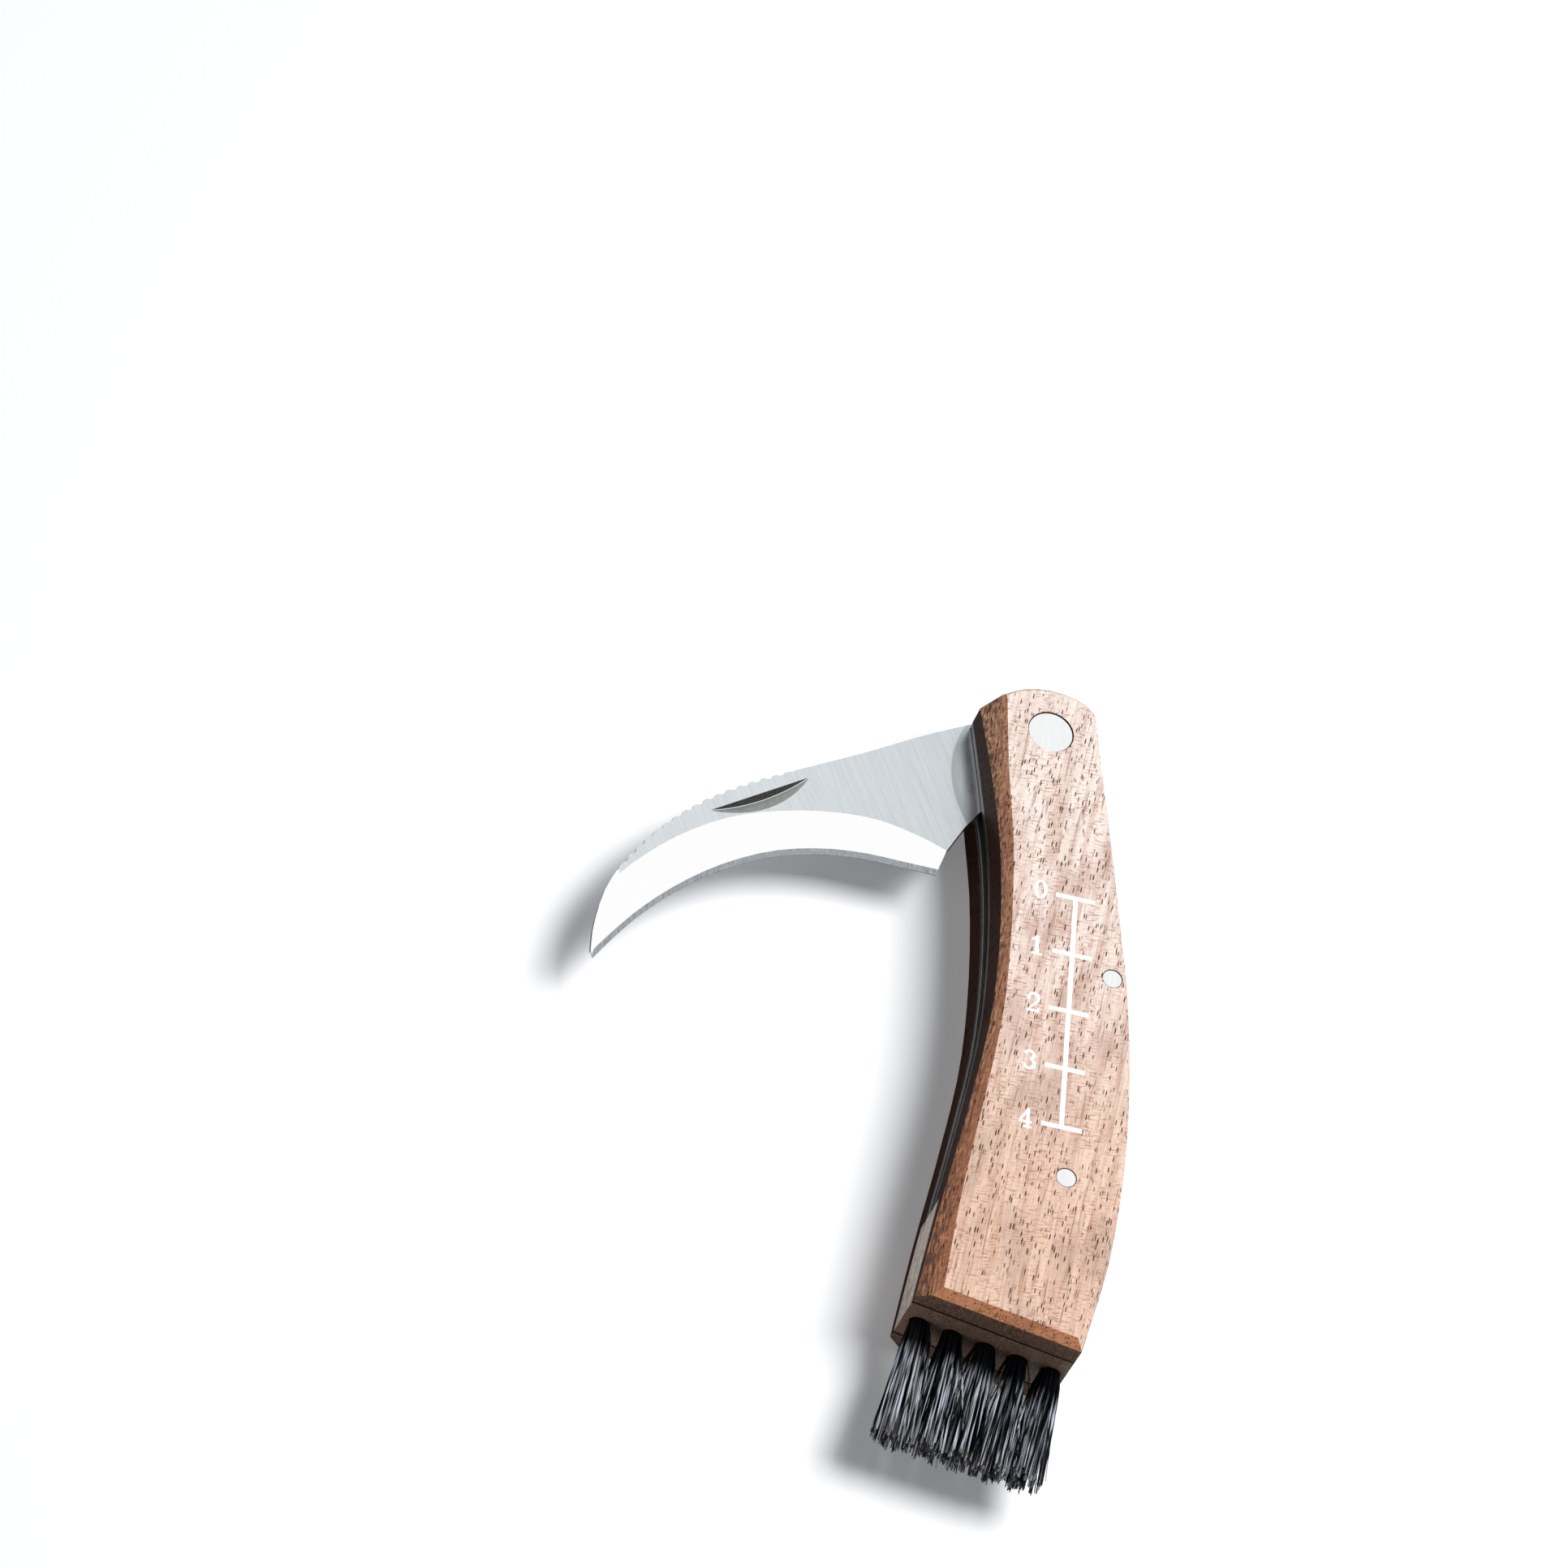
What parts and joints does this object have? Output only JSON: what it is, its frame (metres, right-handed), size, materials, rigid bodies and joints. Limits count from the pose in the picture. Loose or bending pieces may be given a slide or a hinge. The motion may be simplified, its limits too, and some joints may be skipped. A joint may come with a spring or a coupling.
{
  "type": "mushroom knife",
  "caption": "Folding mushroom knife: curved blade with a serrated spine, walnut scales with a centimetre ruler, steel liners, back spring and a bristle brush in the handle's end.",
  "frame": {"origin": "on the lower scale's flat outer face, under the middle of the grip", "axes": "+Y along the handle towards the blade pivot, +Z out of the face with the ruler, the hollow side and the part open blade at -X"},
  "size_m": [0.0804, 0.1319, 0.0186],
  "materials": {
    "walnut": "oiled, open grain",
    "liner_steel": "brushed",
    "blade_steel": "satin flats with a polished bevel",
    "pin_steel": "faced flush with the wood",
    "bronze": "plain",
    "nylon": "black bristle"
  },
  "bodies": {
    "handle": {"upper_scale": "walnut", "lower_scale": "walnut", "brush_block": "walnut", "upper_liner": "liner_steel", "lower_liner": "liner_steel", "back_spring": "liner_steel", "pivot_pin": "pin_steel", "upper_pivot_cap": "pin_steel", "lower_pivot_cap": "pin_steel", "upper_pivot_washer": "bronze", "lower_pivot_washer": "bronze", "spring_pin": "pin_steel", "rear_pin": "pin_steel", "bristles": "nylon"},
    "blade": {"blade": "blade_steel"}
  },
  "joints": [
    {"name": "blade_pivot", "type": "hinge", "parent": "handle", "child": "blade", "pos_m": [-0.00464, 0.05135, 0.0093], "axis": [0, 0, 1], "range_deg": [-112, 47]}
  ]
}
